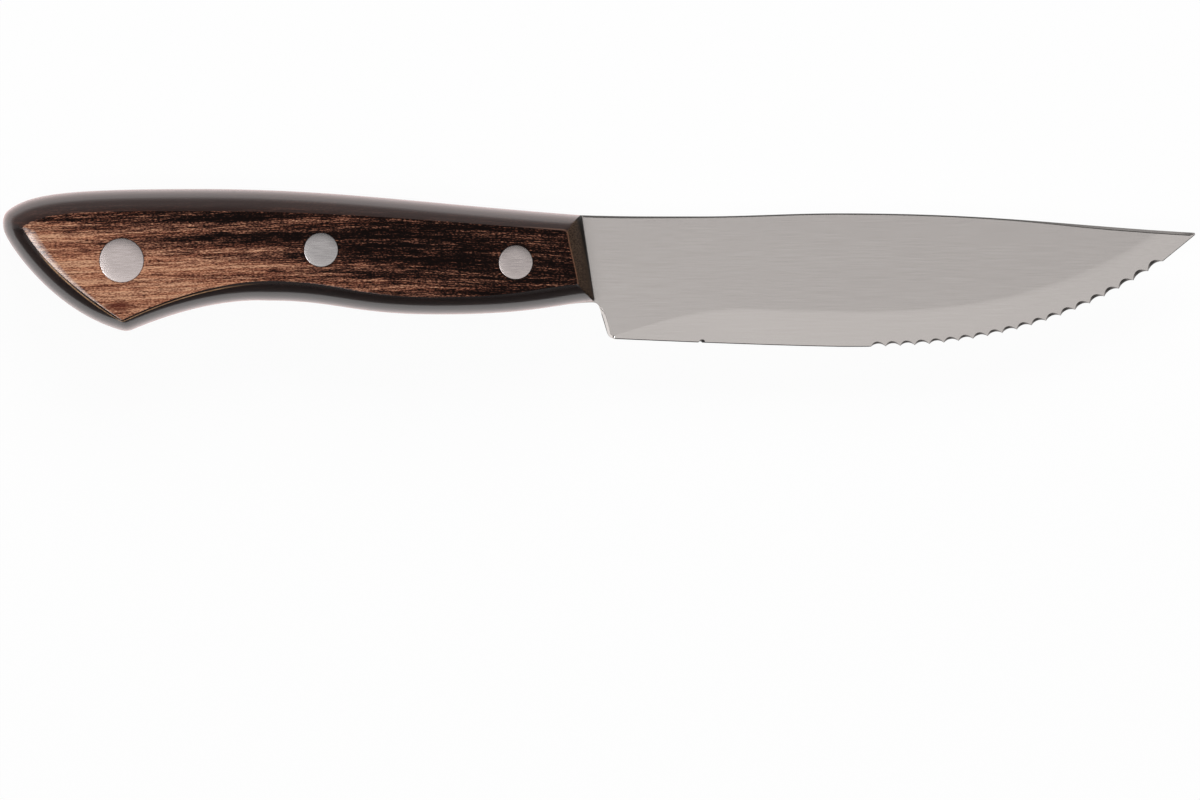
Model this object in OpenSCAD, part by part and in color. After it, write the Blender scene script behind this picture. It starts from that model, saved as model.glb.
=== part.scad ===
// Steak knife with a full tang and a three-rivet wooden handle, lying on its side as it
// rests on a table. X runs from the butt to the tip, Y from the edge to the back, and Z
// up through the handle. The origin is on the table, under the middle of the knife.

/* [Overall] */
// Length of the whole knife, from the butt to the tip
overall_len = 250; // [235:1:265]
// Length of the handle along its back, from the butt to the front of the wood
handle_len = 121.4; // [112:0.1:130]
// Thickness of the steel blank
steel_t = 1.8; // [1.4:0.1:2.4]
// Thickness of one wooden scale
scale_t = 7.6; // [6.4:0.1:9]

/* [Handle outline] */
// Depth of the beak under the crest of the back
beak_depth = 29.6; // [28:0.1:32]
// Depth of the waist behind the beak
waist_depth = 23.4; // [22:0.1:25]
// Depth of the swell of the belly
swell_depth = 26.3; // [25:0.1:28]
// Depth of the belly at the front of the wood
neck_depth = 23.5; // [22.5:0.1:24.5]
// Drop of the back from its crest to the front of the wood
front_drop = 5.5; // [4:0.1:7]
// Drop of the back from its crest to the round of the butt
butt_drop = 4.5; // [3.5:0.1:5.5]
// Height of the round of the butt
butt_round = 4.3; // [3.5:0.1:5]
// Length of the round of the beak
beak_round = 2.5; // [1.5:0.1:3.5]
// How far the foot of the front end leans towards the blade
front_lean = 2.7; // [1:0.1:4]
// Radius of the two front corners of the wood
corner_r = 0.4; // [0.2:0.1:0.8]
// Strip of tang that shows under the wood at its front
tang_show = 0.3; // [0.1:0.1:0.6]

/* [Scales] */
// Width of the rounded border along the back
back_round_w = 4.7; // [4:0.1:5.2]
// Width of the rounded border along the belly
belly_round_w = 4.1; // [3.5:0.1:4.8]
// Width of the rounded border along the front end
front_round_w = 3.2; // [2.6:0.1:4]
// Distance along the handle from the round of the butt to the corner of the flat
butt_border_x = 3.6; // [3:0.1:4.2]
// Height from the round of the butt to the corner of the flat
butt_border_y = 3.2; // [2.6:0.1:3.8]
// Height from the beak to the corner of the flat
beak_border_y = 2.2; // [1.8:0.1:2.8]
// Height of the straight wall of a scale next to the tang
land_h = 0.6; // [0.3:0.1:1]
// Turn of the rounded border, from the straight wall to the flat
border_turn = 70; // [60:1:80]

/* [Blade] */
// Depth of the blade from its back at the handle to the deepest point of its edge
blade_depth = 27.6; // [26:0.1:30]
// Rise of the edge from its deepest point back to the heel
heel_rise = 1.65; // [1.2:0.05:2]
// Rise of the edge from its deepest point to the last tooth
belly_rise = 17.9; // [17:0.1:19]
// Gap between the foot of the wood and the neck of the blade
neck_gap = 0.65; // [0.3:0.05:1]
// Size of the hollow round between the belly and the neck
neck_round = 1.2; // [0.8:0.1:1.8]
// Size of the round at the heel
heel_round = 1.3; // [0.8:0.1:1.8]
// Lean of the neck towards the heel, from upright
neck_lean = 17; // [12:1:22]
// Size of the blunt round at the tip
tip_round = 0.8; // [0.5:0.1:1.2]
// Depth of the shallow dip in the back of the blade
dip_depth = 0.25; // [0.1:0.05:0.5]
// Rise of the back of the blade over its start at the handle
spine_rise = 0.4; // [0.2:0.1:0.8]
// Drop of the back from the handle to the tip
tip_drop = 3.7; // [3:0.1:4.5]

/* [Grind] */
// Height of the ground bevel above the edge
grind_h = 7.2; // [6:0.1:8]
// Length over which the bevel runs in from the heel
grind_run = 29; // [24:1:34]
// Height of the bevel at the very heel
grind_start = 0.8; // [0.5:0.1:1.5]
// Thickness left at the edge
edge_t = 0.3; // [0.2:0.05:0.5]

/* [Teeth] */
// Distance between tooth tips, measured along the knife
tooth_pitch = 3.06; // [2.8:0.02:3.6]
// Depth of a scallop where it breaks through
scallop_depth = 0.62; // [0.4:0.02:0.8]
// Widening of a scallop towards the upper face, for each unit of thickness
scallop_flare_ratio = 1.2; // [0.6:0.1:1.3]
// Radius of the small stop nick in the plain edge
nick_r = 0.5; // [0.3:0.1:0.7]

/* [Rivets] */
// Diameter of the head of the rear rivet
rear_head_d = 9.35; // [8:0.05:10]
// Diameter of the heads of the middle and front rivets
head_d = 7.2; // [6.4:0.1:8.5]
// Thickness of a rivet head
head_h = 1.6; // [1:0.1:2.2]
// Diameter of the hollow barrel
barrel_d = 4.6; // [4:0.1:5.2]
// Diameter of the solid shank in the barrel
shank_d = 2.8; // [2:0.1:3.2]
// Thickness of the floor of the barrel over its head
barrel_floor = 1; // [0.6:0.1:2]
// Chamfer round a head
head_chamfer = 0.15; // [0.1:0.05:0.3]
// Depth of the rear rivet under the crest of the back
rear_rivet_depth = 15; // [14:0.1:16]
// Depth of the middle rivet
middle_rivet_depth = 12.8; // [12:0.1:14]
// Depth of the front rivet
front_rivet_depth = 15.4; // [14.5:0.1:16.2]

/* [Hidden] */

// Radial clearance of a rivet in its holes, and of the shank in its barrel
rivet_fit = 0.05;
shank_fit = 0.02;
// Gap between the end of a shank or barrel and what it points at
end_gap = 0.2;
// Overrun of every cut past the surface it opens
over = 0.5;
// Spacing of the points of the plain edge, and turn from ring to ring of the rounded border
plain_spacing = 3.4;
ring_angle = 8.75;

// Places along the handle, as shares of its length
crest_share = 0.34;
swell_share = 0.751;
waist_share = 0.458;
beak_share = 0.204;
rear_rivet_share = 0.206;
middle_rivet_share = 0.55;
front_rivet_share = 0.886;

// Places along the blade, as shares of the length in front of the wood
dip_share = 0.19;
rise_share = 0.42;
deepest_share = 0.429;
first_tooth_share = 0.4716;
last_tooth_share = 0.947;
nick_share = 0.193;
// Share of the bevel's height that is lost towards the tip
grind_fade_share = 0.2;
// Share of its own height that the bevel's cutter runs on past the face and past the edge
cutter_share = 0.5;
// Powers of the curves of the edge behind and in front of its deepest point
heel_curve_ratio = 1.3;
belly_curve_ratio = 2.6;

// Handle shares of a quarter-like round and of a long gentle curve
round_share = 0.36;
gentle_share = 0.35;

blade_len = overall_len - handle_len;
total_t = steel_t + 2 * scale_t;
mid_z = total_t / 2;

// Point at share t of the cubic curve over four points
function cubic(p, a, b, q, t) =
    p * pow(1 - t, 3) + a * 3 * t * pow(1 - t, 2) + b * 3 * t * t * (1 - t) + q * pow(t, 3);

function heading(angle) = [cos(angle), sin(angle)];

// Points from one knot up to the next. A knot holds a place, the heading of the outline
// there, the handle shares before and after it, and the steps to the next knot.
function stretch(k, m) =
    let (d = norm(m[0] - k[0]))
    [for (i = [0 : k[4] - 1])
        cubic(k[0], k[0] + d * k[3] * heading(k[1]), m[0] - d * m[2] * heading(m[1]), m[0], i / k[4])];

// Points of the open chain of knots, without the last knot's own place
function chain(knots) = [for (i = [0 : len(knots) - 2]) each stretch(knots[i], knots[i + 1])];

// Outline of the handle, from the front of the back round the butt to the swell. Depths
// run down from the crest of the back, and the lengths run from the butt.
back_angle = 175.7;
front_angle = 90 + atan(front_lean / (neck_depth - front_drop));
front_top = [handle_len, -front_drop];
front_foot = [handle_len + front_lean, -neck_depth];
crest = [crest_share * handle_len, 0];
butt_top = [butt_round * 0.25, -butt_drop];
butt_low = [butt_round * 0.06, -butt_drop - butt_round];
beak_rear = [beak_share * handle_len, -beak_depth];
beak_front = beak_rear + [beak_round, beak_round * 0.07];
waist = [waist_share * handle_len, -waist_depth];
swell = [swell_share * handle_len, -swell_depth];

rear_knots = [
    [crest, 180, 0.35, 0.7, 16],
    [butt_top, 218, 0.14, round_share, 8],
    [butt_low, 285, round_share, 0.08, 16],
    [beak_rear, 344.3, 0.47, round_share, 6],
    [beak_front, 382.8, round_share, 0.62, 14],
    [waist, 360, 0.05, 0.41, 12],
    [swell, 360, 0.51, 0.6, 12]];

// Outline of the foot of a scale, on the tang
scale_knots = concat(
    [[front_top + corner_r * heading(back_angle), back_angle, round_share, 0.43, 14]],
    rear_knots,
    [[front_foot + corner_r * heading(185), 365, 0.25, round_share, 4],
     [front_foot + corner_r * heading(front_angle), front_angle, round_share, gentle_share, 8],
     [front_top - corner_r * heading(front_angle), front_angle, gentle_share, round_share, 4],
     [front_top + corner_r * heading(back_angle), back_angle, round_share, 0, 0]]);

// Outline of the flat face of a scale, with a knot for each knot of its foot
flat_top = front_top + [-front_round_w, -back_round_w * 0.7];
flat_foot = front_foot + [-front_round_w - corner_r, belly_round_w * 0.85];
flat_butt = butt_top + [butt_border_x, -butt_border_y];
flat_beak = beak_rear + [0, beak_border_y];
flat_knots = [
    [flat_top + 2 * corner_r * heading(back_angle), back_angle, round_share, 0.43, 14],
    [crest - [0, back_round_w], 180, 0.35, 0.7, 16],
    [flat_butt, 213, 0.14, round_share, 8],
    [flat_butt - [0.9 * corner_r, 1.5 * corner_r], 300, round_share, 0.33, 16],
    [flat_beak, 326, 0.33, round_share, 6],
    [flat_beak + [1.6 * corner_r, 0], 386, round_share, 0.5, 14],
    [waist + [0, belly_round_w], 360, 0.15, 0.41, 12],
    [swell + [0, belly_round_w], 360, 0.51, 0.6, 12],
    [flat_foot + corner_r * heading(185), 365, 0.3, round_share, 4],
    [flat_foot + corner_r * heading(front_angle), front_angle, round_share, gentle_share, 8],
    [flat_top - 2 * corner_r * heading(front_angle), front_angle, gentle_share, round_share, 4],
    [flat_top + 2 * corner_r * heading(back_angle), back_angle, round_share, 0, 0]];

// Line of the edge: a power curve either way from its deepest point, then straight to the
// corner where it would meet the back if the tip were sharp
edge_depth = front_drop + blade_depth;
deepest_x = handle_len + deepest_share * blade_len;
belly_x = handle_len + last_tooth_share * blade_len;
belly_y = belly_rise - edge_depth;
neck_x = handle_len + front_lean + neck_gap;
neck_drop = edge_depth - heel_rise - neck_depth - tang_show;
heel_x = neck_x + neck_drop * tan(neck_lean) + heel_round;
tip_corner = [overall_len + 0.66 * tip_round, -front_drop - tip_drop];
tip_slope = (tip_corner[1] - belly_y) / (tip_corner[0] - belly_x);
function edge_y(x) =
    x < deepest_x
        ? heel_rise * pow((deepest_x - x) / (deepest_x - heel_x), heel_curve_ratio) - edge_depth
        : x < belly_x
            ? belly_rise * pow((x - deepest_x) / (belly_x - deepest_x), belly_curve_ratio) - edge_depth
            : belly_y + (x - belly_x) * tip_slope;

// The teeth keep their pitch, and fill the belly with a whole number of scallops
teeth_x = handle_len + first_tooth_share * blade_len;
tooth_count = round((belly_x - teeth_x) / tooth_pitch);
tooth_xs = [for (i = [0 : tooth_count]) teeth_x + i * tooth_pitch];
tooth_tips = [for (x = tooth_xs) [x, edge_y(x)]];
plain_point_count = round((teeth_x - heel_x) / plain_spacing);
plain_xs = [for (i = [0 : plain_point_count - 1]) heel_x + (teeth_x - heel_x) * i / plain_point_count];
plain_edge = [for (x = plain_xs) [x, edge_y(x)]];

// Back of the blade, and the tip
tip_angle = atan(tip_slope);
spine_angle = 3.2;
tip_low = tip_corner - tip_round * heading(tip_angle);
tip_top = tip_corner - tip_round * heading(-spine_angle);

neck_top = [neck_x - neck_round, -neck_depth - tang_show];
neck_low = [neck_x, -neck_depth - tang_show] + neck_round * [tan(neck_lean), -1];
heel_top = [heel_x - heel_round, edge_y(heel_x)] + heel_round * [-tan(neck_lean), 1];
blank_knots = concat(
    [[front_top, back_angle, 0.3, 0.43, 14]],
    rear_knots,
    [[neck_top, 360, 0.2, 0.45, 6],
     [neck_low, 270 + neck_lean, 0.45, 0.2, 2],
     [heel_top, 270 + neck_lean, 0.2, round_share, 6],
     [plain_edge[0], 356, round_share, 0, 0]]);
tip_knots = [
    [tip_low, tip_angle, 0, 0.48, 8],
    [tip_top, 180 - spine_angle, 0.48, 0.37, 16],
    [[handle_len + rise_share * blade_len, spine_rise - front_drop], 180, 0.44, gentle_share, 8],
    [[handle_len + dip_share * blade_len, -dip_depth - front_drop], 180, gentle_share, gentle_share, 6],
    [front_top, 178, gentle_share, 0, 0]];
blank_outline = concat(chain(blank_knots), plain_edge, tooth_tips, chain(tip_knots));

// The knife is centred on the middle of its outline
blank_xs = [for (p = blank_outline) p[0]];
blank_ys = [for (p = blank_outline) p[1]];
centre = [(min(blank_xs) + max(blank_xs)) / 2, (min(blank_ys) + max(blank_ys)) / 2, 0];

rear_rivet = [rear_rivet_share * handle_len, -rear_rivet_depth];
middle_rivet = [middle_rivet_share * handle_len, -middle_rivet_depth];
front_rivet = [front_rivet_share * handle_len, -front_rivet_depth];
rivets = [[rear_rivet, rear_head_d], [middle_rivet, head_d], [front_rivet, head_d]];

// Height of the bevel above the edge: it swells in from the heel and fades to the tip
function grind_at(x) =
    let (in_share = min(1, max(0, (x - heel_x) / grind_run)),
         out_share = max(0, (x - deepest_x) / (overall_len - deepest_x)),
         kept_share = 1 - grind_fade_share * pow(out_share, 2))
    grind_start + (grind_h - grind_start) * sin(90 * in_share) * kept_share;

// Section of the bevel's cutter at x. Its lower face runs through the grind line on the
// face of the blank and through the edge, and goes on a little past both.
function grind_section(x) =
    let (h = grind_at(x), fall = (steel_t - edge_t) / 2, y = edge_y(x))
    [[x, y + h * (1 + cutter_share), steel_t / 2 + fall * cutter_share],
     [x, y - h * cutter_share, edge_t / 2 - fall * cutter_share],
     [x, y - h * cutter_share, steel_t + over],
     [x, y + h * (1 + cutter_share), steel_t + over]];

grind_xs = concat([heel_x - 2 * heel_round], plain_xs, tooth_xs, [tip_corner[0] + over]);

// Solid between two end sections and the sections between them
module loft(sections) {
    sides = len(sections[0]);
    last = len(sections) - 1;
    points = [for (s = sections) each s];
    walls = [for (i = [0 : last - 1], j = [0 : sides - 1])
        let (a = i * sides + j, b = i * sides + (j + 1) % sides)
        each [[a, b, b + sides], [a, b + sides, a + sides]]];
    first_cap = [for (j = [sides - 1 : -1 : 0]) j];
    last_cap = [for (j = [0 : sides - 1]) last * sides + j];
    polyhedron(points, concat([first_cap, last_cap], walls));
}

module bevel_cut() loft([for (x = grind_xs) grind_section(x)]);

// One scallop between two tooth tips. It is a cone that widens upwards, and the circle
// that shows from above, at the lower face of the thin edge, runs through both tips.
module scallop_cut(a, b) {
    chord = norm(b - a);
    r = (chord * chord / 4 + scallop_depth * scallop_depth) / (2 * scallop_depth);
    along = (b - a) / chord;
    out = [along[1], -along[0]];
    centre_xy = (a + b) / 2 + (r - scallop_depth) * out;
    reach = steel_t / 3;
    through_z = -edge_t * 0.7;
    translate([centre_xy[0], centre_xy[1], -reach])
        cylinder(h = 2 * reach, r1 = r - scallop_flare_ratio * (reach + through_z),
            r2 = r + scallop_flare_ratio * (reach - through_z), $fn = 48);
}

module nick_cut() {
    x = handle_len + nick_share * blade_len;
    translate([x, edge_y(x) - nick_r * 0.2, -steel_t])
        cylinder(h = 2 * steel_t, r = nick_r, $fn = 24);
}

module hole(place, d, h, z) translate([place[0], place[1], z]) cylinder(h = h, d = d, $fn = 48);

module blade() color("silver") translate([0, 0, mid_z] - centre) difference() {
    translate([0, 0, -steel_t / 2]) linear_extrude(steel_t) polygon(blank_outline);
    bevel_cut();
    mirror([0, 0, 1]) bevel_cut();
    for (i = [0 : tooth_count - 1]) scallop_cut(tooth_tips[i], tooth_tips[i + 1]);
    nick_cut();
    for (r = rivets) hole(r[0], barrel_d + 2 * rivet_fit, steel_t + 2 * over, -steel_t / 2 - over);
}

// Sections of a scale from the tang to its flat face. The border is part of an ellipse:
// upright at the wall, and still sloping a little where it meets the flat.
border_ring_count = round(border_turn / ring_angle);
scale_foot = chain(scale_knots);
scale_flat = chain(flat_knots);
function scale_section(in_share, z) =
    [for (i = [0 : len(scale_foot) - 1])
        let (p = scale_foot[i] * (1 - in_share) + scale_flat[i] * in_share) [p[0], p[1], z]];
function border_section(turn) =
    scale_section((1 - cos(turn)) / (1 - cos(border_turn)),
        steel_t / 2 + land_h + (scale_t - land_h) * sin(turn) / sin(border_turn));

module scale_blank() loft(concat(
    [scale_section(0, steel_t / 2)],
    [for (i = [0 : border_ring_count]) border_section(border_turn * i / border_ring_count)]));

module wooden_scale() difference() {
    scale_blank();
    for (r = rivets) {
        hole(r[0], barrel_d + 2 * rivet_fit, scale_t + 2 * over, steel_t / 2 - over);
        hole(r[0], r[1] + 2 * rivet_fit, head_h + over, mid_z - head_h);
    }
}

module upper_scale() color("saddlebrown") translate([0, 0, mid_z] - centre) wooden_scale();

module lower_scale() color("sienna") translate([0, 0, mid_z] - centre)
    mirror([0, 0, 1]) wooden_scale();

// Head with a chamfered rim. Its outer face is at z = 0 and it reaches up into the wood.
module head(d) {
    cylinder(h = head_chamfer, d1 = d - 2 * head_chamfer, d2 = d, $fn = 64);
    translate([0, 0, head_chamfer]) cylinder(h = head_h - head_chamfer, d = d, $fn = 64);
}

module rivet_socket(rivet) color("lightgray")
    translate([rivet[0][0], rivet[0][1], 0] - centre) difference() {
        union() {
            head(rivet[1]);
            cylinder(h = total_t - head_h - end_gap, d = barrel_d, $fn = 48);
        }
        translate([0, 0, head_h + barrel_floor])
            cylinder(h = total_t, d = shank_d + 2 * shank_fit, $fn = 48);
    }

module rivet_pin(rivet) color("gainsboro")
    translate([rivet[0][0], rivet[0][1], total_t] - centre) mirror([0, 0, 1]) {
        head(rivet[1]);
        cylinder(h = total_t - head_h - barrel_floor - end_gap, d = shank_d, $fn = 48);
    }

module rear_rivet_socket() rivet_socket(rivets[0]);
module rear_rivet_pin() rivet_pin(rivets[0]);
module middle_rivet_socket() rivet_socket(rivets[1]);
module middle_rivet_pin() rivet_pin(rivets[1]);
module front_rivet_socket() rivet_socket(rivets[2]);
module front_rivet_pin() rivet_pin(rivets[2]);

blade();
upper_scale();
lower_scale();
rear_rivet_socket();
rear_rivet_pin();
middle_rivet_socket();
middle_rivet_pin();
front_rivet_socket();
front_rivet_pin();
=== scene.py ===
# %% [markdown]
# # A riveted steak knife, seen from above
# The knife lies on its side on a pale table. A steel blank runs from the tip of the blade
# to the butt of the handle. Two wooden scales cover it there, and three rivets hold them.
# The CAD model says where each piece is and how long and thick it is, so the first step
# loads it as a fixed frame, and the new pieces replace its plain ones.

import math

import bmesh
import bpy
import numpy as np
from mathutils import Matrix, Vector
from mathutils.geometry import delaunay_2d_cdt


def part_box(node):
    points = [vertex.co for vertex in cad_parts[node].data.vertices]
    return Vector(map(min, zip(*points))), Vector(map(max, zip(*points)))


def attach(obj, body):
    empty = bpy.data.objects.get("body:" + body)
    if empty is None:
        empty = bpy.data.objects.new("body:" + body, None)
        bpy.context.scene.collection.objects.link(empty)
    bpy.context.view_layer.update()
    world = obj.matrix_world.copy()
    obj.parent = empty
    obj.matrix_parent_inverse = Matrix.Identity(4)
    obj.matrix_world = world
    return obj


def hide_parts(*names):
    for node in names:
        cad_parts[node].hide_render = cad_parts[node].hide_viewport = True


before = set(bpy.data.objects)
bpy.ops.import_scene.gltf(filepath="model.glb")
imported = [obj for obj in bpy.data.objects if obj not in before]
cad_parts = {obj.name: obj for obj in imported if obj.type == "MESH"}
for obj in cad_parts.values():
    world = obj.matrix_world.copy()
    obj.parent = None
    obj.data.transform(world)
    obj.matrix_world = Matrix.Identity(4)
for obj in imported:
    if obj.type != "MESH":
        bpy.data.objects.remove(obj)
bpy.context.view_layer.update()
print("nodes:", sorted(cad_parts))

# %% [markdown]
# ## Millimetres
# A maker thinks of a knife in millimetres, and Blender in metres. All shapes below are
# worked out in millimetres from the butt, with depths running down from the highest point
# of the back and heights from the table. One step at the end shifts and scales them.

# %% The knife's own millimetres
MM = 0.001
blade_lo, blade_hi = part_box("blade")
BUTT_X, CREST_Y = blade_lo[0], blade_hi[1]
overall_len = (blade_hi[0] - blade_lo[0]) / MM
steel_t = (blade_hi[2] - blade_lo[2]) / MM
total_t = (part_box("upper_scale")[1][2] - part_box("lower_scale")[0][2]) / MM
scale_t = (total_t - steel_t) / 2
half_t = steel_t / 2
MID_Z = total_t / 2
print(f"length {overall_len:.1f} mm, steel {steel_t:.2f} mm, handle {total_t:.2f} mm thick")

# %% [markdown]
# ## Smooth outlines from a few knots
# A handle like this is drawn with a few curves that meet tangentially. Each knot below
# holds a place, the heading of the outline there in degrees, how strongly the curve
# arrives and leaves, and the steps to the next knot. This is the same way a pen tool in a
# drawing program works, but with numbers that have names.


# %% Chains of cubic curves
def heading(angle):
    """Vector of length 1 at an angle in degrees."""
    return np.array([math.cos(math.radians(angle)), math.sin(math.radians(angle))])


def stretch(knot, following, fine):
    """Cubic curve from one knot to the next: the weighted mean of four points with the
    weights (1-t)^3, 3t(1-t)^2, 3t^2(1-t) and t^3. The two inner points lie along the
    headings, at their shares of the straight distance."""
    start, leave_angle, _, leave_share, steps = knot
    end, arrive_angle, arrive_share, _, _ = following
    start, end = np.array(start), np.array(end)
    reach = np.linalg.norm(end - start)
    leave = start + reach * leave_share * heading(leave_angle)
    arrive = end - reach * arrive_share * heading(arrive_angle)
    t = (np.arange(steps * fine) / (steps * fine))[:, None]
    return (start * (1 - t) ** 3 + leave * 3 * t * (1 - t) ** 2
            + arrive * 3 * t**2 * (1 - t) + end * t**3)


def chain(knots, fine):
    """All stretches one after another, without the last knot's own place."""
    return np.vstack([stretch(a, b, fine) for a, b in zip(knots[:-1], knots[1:])])


quarter = chain([((0, 0), 0, 0, 0.39, 8), ((1, 1), 90, 0.39, 0, 0)], 1)
print("middle of a quarter circle drawn this way:", quarter[4].round(3))

# %% [markdown]
# ## The outline of the handle
# The handle has a high back, a round butt, a beak that keeps the hand from slipping off,
# a waist, a swell for the belly of the hand, and a front end that leans with the neck of
# the blade. Each of these is one knot.

# %% Sizes of the handle
# In millimetres: depths below the crest of the back, drops of the two ends of the back,
# radii, and the lean of the front end. Places along the handle are shares of its length.
handle_len = 121.4
beak_depth, waist_depth, swell_depth, neck_depth = 29.6, 23.4, 26.3, 23.5
crest_share, beak_share, waist_share, swell_share = 0.34, 0.204, 0.458, 0.751
front_drop, butt_drop, butt_round, beak_round, front_lean = 5.5, 4.5, 4.3, 2.5, 2.7
corner_r, tang_show = 0.4, 0.3
round_share, gentle_share, back_angle = 0.36, 0.35, 175.7

front_angle = 90 + math.degrees(math.atan(front_lean / (neck_depth - front_drop)))
front_top = np.array([handle_len, -front_drop])
front_foot = np.array([handle_len + front_lean, -neck_depth])
crest = np.array([crest_share * handle_len, 0])
butt_top = np.array([butt_round * 0.25, -butt_drop])
butt_low = np.array([butt_round * 0.06, -butt_drop - butt_round])
beak_rear = np.array([beak_share * handle_len, -beak_depth])
beak_front = beak_rear + [beak_round, beak_round * 0.07]
waist = np.array([waist_share * handle_len, -waist_depth])
swell = np.array([swell_share * handle_len, -swell_depth])
print(f"front end leans {front_angle - 90:.1f} degrees")

# %% Foot of a scale
# Each knot: place, heading, share before it, share after it, steps to the next one.
rear_knots = [
    (crest, 180, 0.35, 0.7, 16),
    (butt_top, 218, 0.14, round_share, 8),
    (butt_low, 285, round_share, 0.08, 16),
    (beak_rear, 344.3, 0.47, round_share, 6),
    (beak_front, 382.8, round_share, 0.62, 14),
    (waist, 360, 0.05, 0.41, 12),
    (swell, 360, 0.51, 0.6, 12)]


def front_knots(top, foot, top_r, start):
    """Knots up the front end, from the belly round the two corners to the back."""
    return [
        (foot + corner_r * heading(185), 365, start, round_share, 4),
        (foot + corner_r * heading(front_angle), front_angle, round_share, gentle_share, 8),
        (top - top_r * heading(front_angle), front_angle, gentle_share, round_share, 4),
        (top + top_r * heading(back_angle), back_angle, round_share, 0, 0)]


scale_knots = ([(front_top + corner_r * heading(back_angle), back_angle, round_share, 0.43, 14)]
               + rear_knots + front_knots(front_top, front_foot, corner_r, 0.25))
print(len(scale_knots), "knots round the foot")

# %% [markdown]
# ## The outline of the flat
# On top of the scale lies a smaller flat face, and a rounded border joins it to the foot.
# The flat's outline has a knot at each feature of the foot's, with as many steps between
# them, so that the two can be joined point by point. The border is widest along the back.

# %% Outline of the flat
back_round_w, belly_round_w, swell_round_w, front_round_w = 4.7, 4.1, 3.6, 3.2
butt_border_x, butt_border_y, beak_border_y = 3.6, 3.2, 2.2

flat_top = front_top + [-front_round_w, -back_round_w * 0.7]
flat_foot = front_foot + [-front_round_w - corner_r, belly_round_w * 0.85]
flat_butt = butt_top + [butt_border_x, -butt_border_y]
flat_beak = beak_rear + [0, beak_border_y]
flat_knots = [
    (flat_top + 2 * corner_r * heading(back_angle), back_angle, round_share, 0.43, 14),
    (crest - [0, back_round_w], 180, 0.35, 0.7, 16),
    (flat_butt, 213, 0.14, round_share, 8),
    (flat_butt - [0.9 * corner_r, 1.5 * corner_r], 300, round_share, 0.33, 16),
    (flat_beak, 326, 0.33, round_share, 6),
    (flat_beak + [1.6 * corner_r, 0], 386, round_share, 0.5, 14),
    (waist + [0, belly_round_w], 360, 0.15, 0.41, 12),
    (swell + [0, swell_round_w], 360, 0.51, 0.6, 12)]
flat_knots += front_knots(flat_top, flat_foot, 2 * corner_r, 0.3)

FINE = 4
foot_line = chain(scale_knots, FINE)
flat_line = chain(flat_knots, FINE)
print(f"handle {handle_len:.1f} mm along the back, {len(foot_line)} points round it")

# %% [markdown]
# ## From grids of points to faces
# A surface here is a function of two parameters, worked out on a grid as whole arrays.
# One helper turns a grid into four-sided faces. Another fills a flat face that has round
# holes, with triangles between the outline and true circles. Each part keeps the number
# of its region, which later gives it its finish and its crisp borders.


# %% Faces of grids and plates
def grid(points, region, closed=False):
    """Faces between neighbours of a rows x columns grid of points. With closed, the last
    column joins the first."""
    rows, cols = points.shape[:2]
    index = np.arange(rows * cols).reshape(rows, cols)
    if closed:
        index = np.hstack([index, index[:, :1]])
    quads = np.stack([index[:-1, :-1], index[1:, :-1], index[1:, 1:], index[:-1, 1:]], axis=-1)
    return points.reshape(-1, 3), quads.reshape(-1, 4).tolist(), region


# The fill keeps what lies inside the outline, and joins points closer than a nanometre.
HOLE_STEPS = 96
FILL_INSIDE, SNAP = 1, 1e-6


def ring(centre, radius):
    """Circle: the centre plus radius x (cos, sin) of the turn."""
    turn = 2 * np.pi * np.arange(HOLE_STEPS) / HOLE_STEPS
    return np.asarray(centre) + radius * np.column_stack([np.cos(turn), np.sin(turn)])


def plate(outline, holes, z, region):
    """Flat face at height z inside an outline and outside its round holes, as triangles.
    A hole is a centre and a radius, and the triangles whose middle lies in it go."""
    loops = [outline] + [ring(centre, radius) for centre, radius in holes]
    flat = np.vstack(loops)
    start = np.cumsum([0] + [len(loop) for loop in loops])
    edges = [np.stack([np.arange(a, b), np.roll(np.arange(a, b), -1)], axis=1)
             for a, b in zip(start[:-1], start[1:])]
    found = delaunay_2d_cdt([Vector(p) for p in flat], np.vstack(edges).tolist(), [],
                            FILL_INSIDE, SNAP)
    spots, corners = np.array([tuple(v) for v in found[0]]), np.array(found[2])
    middle = spots[corners].mean(axis=1)
    for centre, radius in holes:
        outside = np.linalg.norm(middle - centre, axis=1) > radius
        middle, corners = middle[outside], corners[outside]
    return np.column_stack([spots, np.full(len(spots), z)]), corners.tolist(), region


print(HOLE_STEPS, "points round each hole")

# %% [markdown]
# ## From faces to one closed mesh
# Ground metal and sanded wood have soft shades on their faces and hard lines between
# them. So all faces are shaded smooth, and an edge is marked sharp where it turns steeply
# or where two regions meet. Points that lie on each other are merged first, which closes
# the seams, and the count of open edges is printed, because it has to be nought.

# %% Crisp borders
CREASE_ANGLE = 30


def face_regions(mesh):
    """Region of each face."""
    region = np.empty(len(mesh.polygons), np.int32)
    mesh.attributes["region"].data.foreach_get("value", region)
    return region


def mark_creases(mesh):
    """Smooth faces, with sharp edges at steep angles and between regions."""
    mesh.shade_smooth()
    mesh.set_sharp_from_angle(angle=math.radians(CREASE_ANGLE))
    region = face_regions(mesh)
    sides = np.empty(len(mesh.polygons), np.int32)
    mesh.polygons.foreach_get("loop_total", sides)
    edge = np.empty(len(mesh.loops), np.int32)
    mesh.loops.foreach_get("edge_index", edge)
    # The lowest and highest region beside each edge differ where two regions meet.
    spread = np.repeat(region, sides)
    low, high = np.full(len(mesh.edges), region.max()), np.zeros(len(mesh.edges), np.int32)
    np.minimum.at(low, edge, spread)
    np.maximum.at(high, edge, spread)
    sharp = np.empty(len(mesh.edges), bool)
    flags = mesh.attributes["sharp_edge"]
    flags.data.foreach_get("value", sharp)
    flags.data.foreach_set("value", sharp | (low != high))


print(f"edges over {CREASE_ANGLE} degrees stay sharp")

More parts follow.
